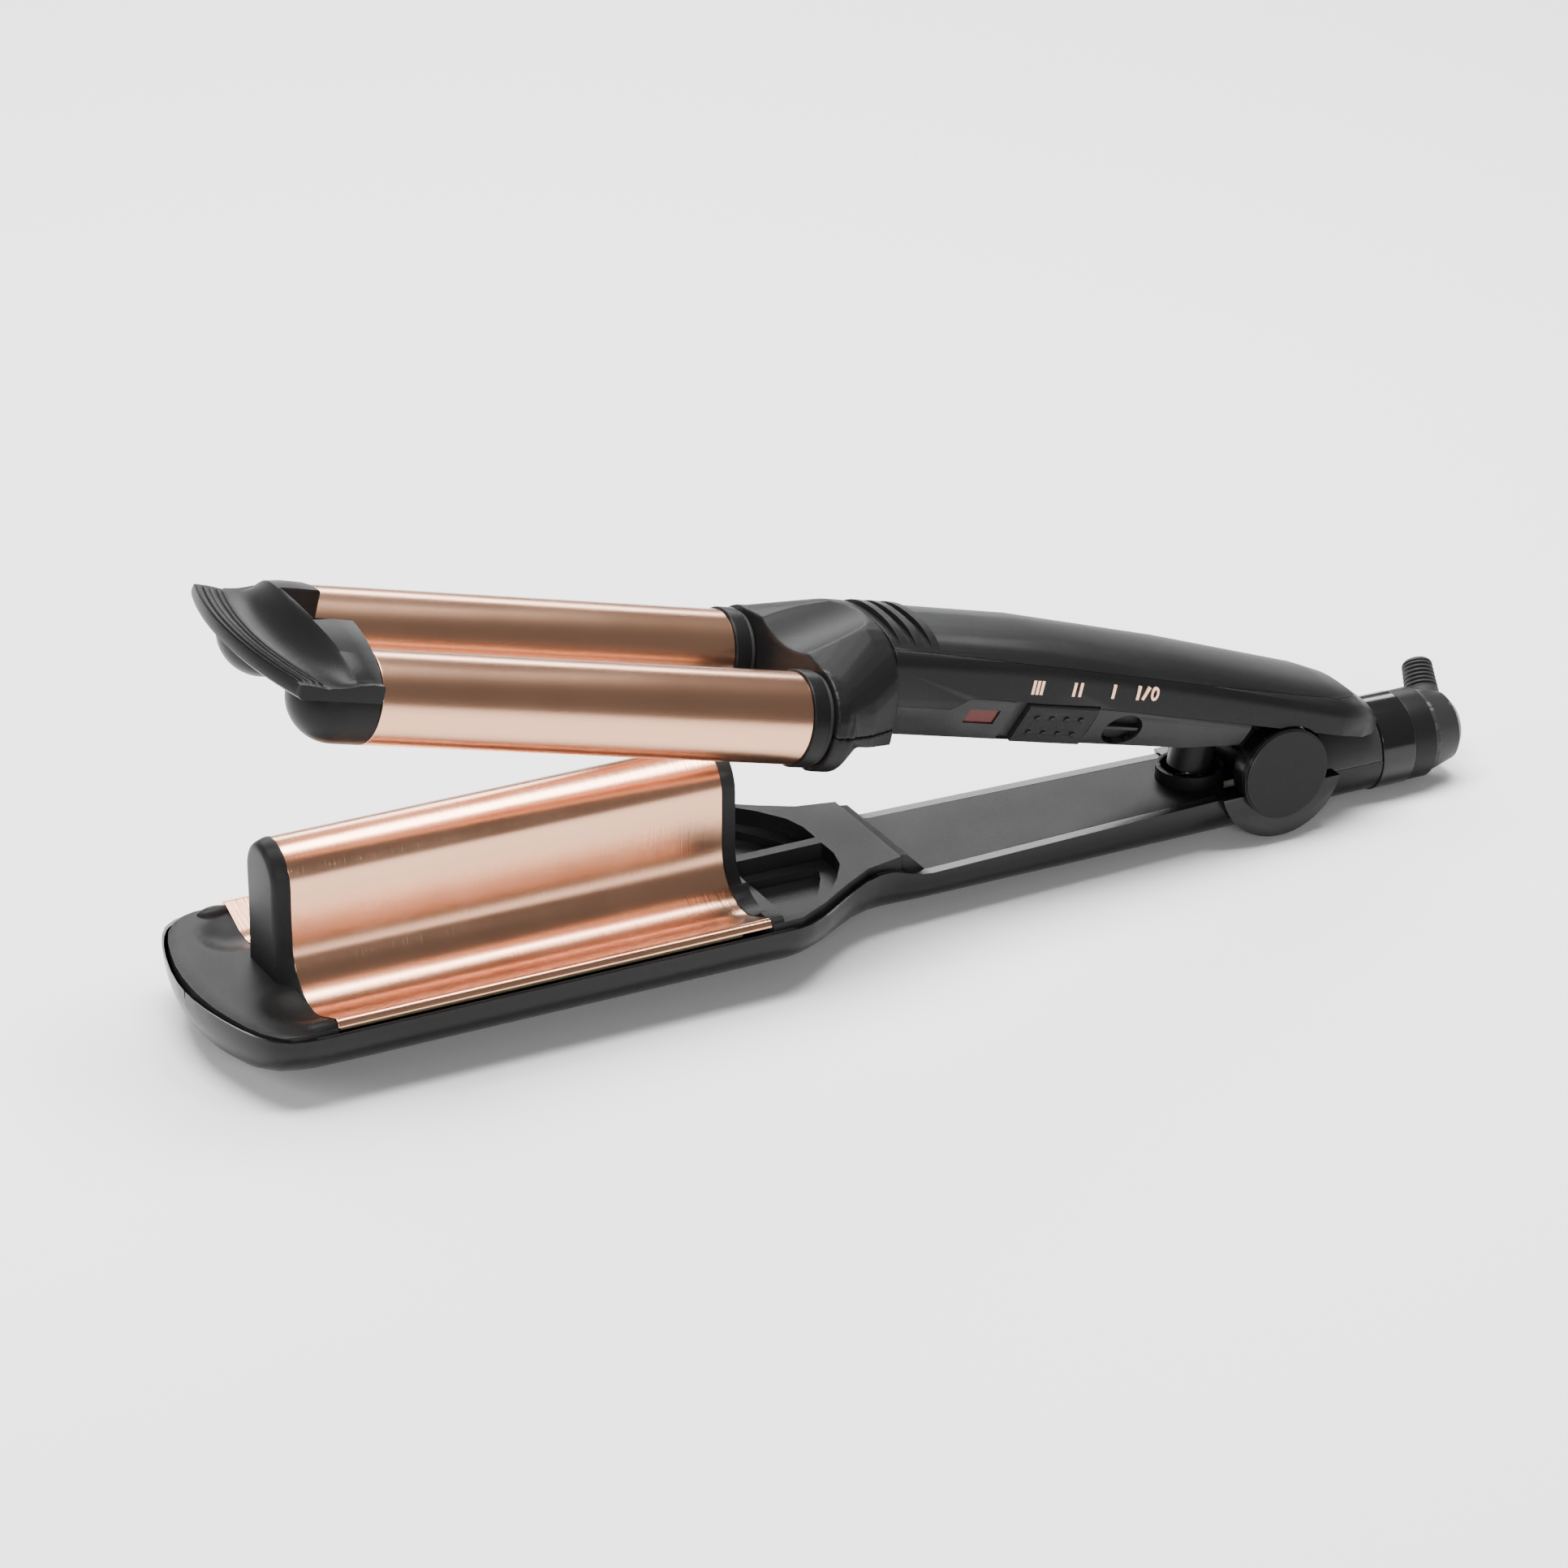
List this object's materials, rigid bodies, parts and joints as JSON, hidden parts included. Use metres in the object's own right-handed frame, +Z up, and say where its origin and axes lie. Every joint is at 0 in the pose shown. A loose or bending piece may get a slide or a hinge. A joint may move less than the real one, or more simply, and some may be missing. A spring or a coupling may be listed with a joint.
{
  "type": "hair crimper",
  "caption": "Hair deep waver: sprung arms, a ridged wave plate under two heated barrels, heat slider, lock dial and swivelling cable outlet.",
  "frame": {"origin": "under the middle of the wave plate, on the surface the tool rests on", "axes": "+X from the nose to the tail, -Y on the side with the controls, +Z up"},
  "size_m": [0.3488, 0.0736, 0.1099],
  "materials": {
    "black_shell": "satin",
    "black_cover": "matte",
    "black_gloss": "gloss",
    "rose_metal": "satin",
    "rose_print": "satin",
    "control_plastic": "satin",
    "grey_plastic": "matte",
    "soft_plastic": "matte",
    "gasket_rubber": "matte",
    "red_lens": "gloss",
    "lamp": "gloss",
    "alloy": "brushed",
    "heater_ceramic": "matte",
    "mica": "matte",
    "screw_steel": "brushed",
    "board": "satin",
    "switch_body": "matte",
    "lead_sleeve": "matte"
  },
  "bodies": {
    "lower_arm": {"lower_shell": "black_shell", "nose_cover": "black_cover", "rear_deck": "black_cover", "wave_plate": "rose_metal", "heat_spreader": "alloy", "plate_heater": "heater_ceramic", "heat_shield": "mica", "handle_cover": "black_cover", "shell_screws": "screw_steel", "plate_leads": "lead_sleeve", "hinge_pin": "screw_steel", "hinge_cap_near": "black_gloss", "hinge_cap_far": "black_gloss", "spring_cup": "black_shell", "main_spring": "screw_steel", "tail_cover": "black_cover", "tail_ring": "black_gloss", "tail_sleeve": "black_shell"},
    "upper_arm": {"barrel_near": "rose_metal", "barrel_far": "rose_metal", "barrel_core_near": "alloy", "barrel_core_far": "alloy", "barrel_heater_near": "heater_ceramic", "barrel_heater_far": "heater_ceramic", "front_cap": "black_shell", "cap_screws": "screw_steel", "collar_near": "black_gloss", "collar_far": "black_gloss", "gasket_near": "gasket_rubber", "gasket_far": "gasket_rubber", "yoke_top": "black_cover", "yoke_bottom": "black_shell", "top_shell": "black_cover", "side_shell": "black_shell", "bottom_shell": "black_shell", "handle_screws": "screw_steel", "arm_knuckle": "black_cover", "spring_post": "black_cover", "light_window": "red_lens", "signal_lamp": "lamp", "circuit_board": "board", "slide_switch": "switch_body", "thermal_fuse": "heater_ceramic", "barrel_leads": "lead_sleeve", "heat_marks": "rose_print"},
    "slider": {"heat_slider": "control_plastic"},
    "dial": {"lock_dial": "control_plastic"},
    "swivel": {"swivel_cap": "grey_plastic", "strain_relief": "soft_plastic"}
  },
  "joints": [
    {"name": "arm_hinge", "type": "hinge", "parent": "lower_arm", "child": "upper_arm", "pos_m": [0.207, 0, 0.0187], "axis": [0, 1, 0], "range_deg": [-14.6, 0], "stiffness_Nm_per_rad": 3, "springref_deg": 17.19, "deforming": ["main_spring"]},
    {"name": "heat_slide", "type": "slide", "parent": "upper_arm", "child": "slider", "axis": [-0.9674, 0, 0.2533], "range_m": [0, 0.0034]},
    {"name": "lock_turn", "type": "hinge", "parent": "upper_arm", "child": "dial", "pos_m": [0.16085, -0.01573, 0.03984], "axis": [-0.115, -0.891, -0.4392], "range_deg": [0, 90]},
    {"name": "cord_swivel", "type": "hinge", "parent": "lower_arm", "child": "swivel", "pos_m": [0.25, 0, 0.012], "axis": [1, 0, 0], "continuous": true}
  ]
}
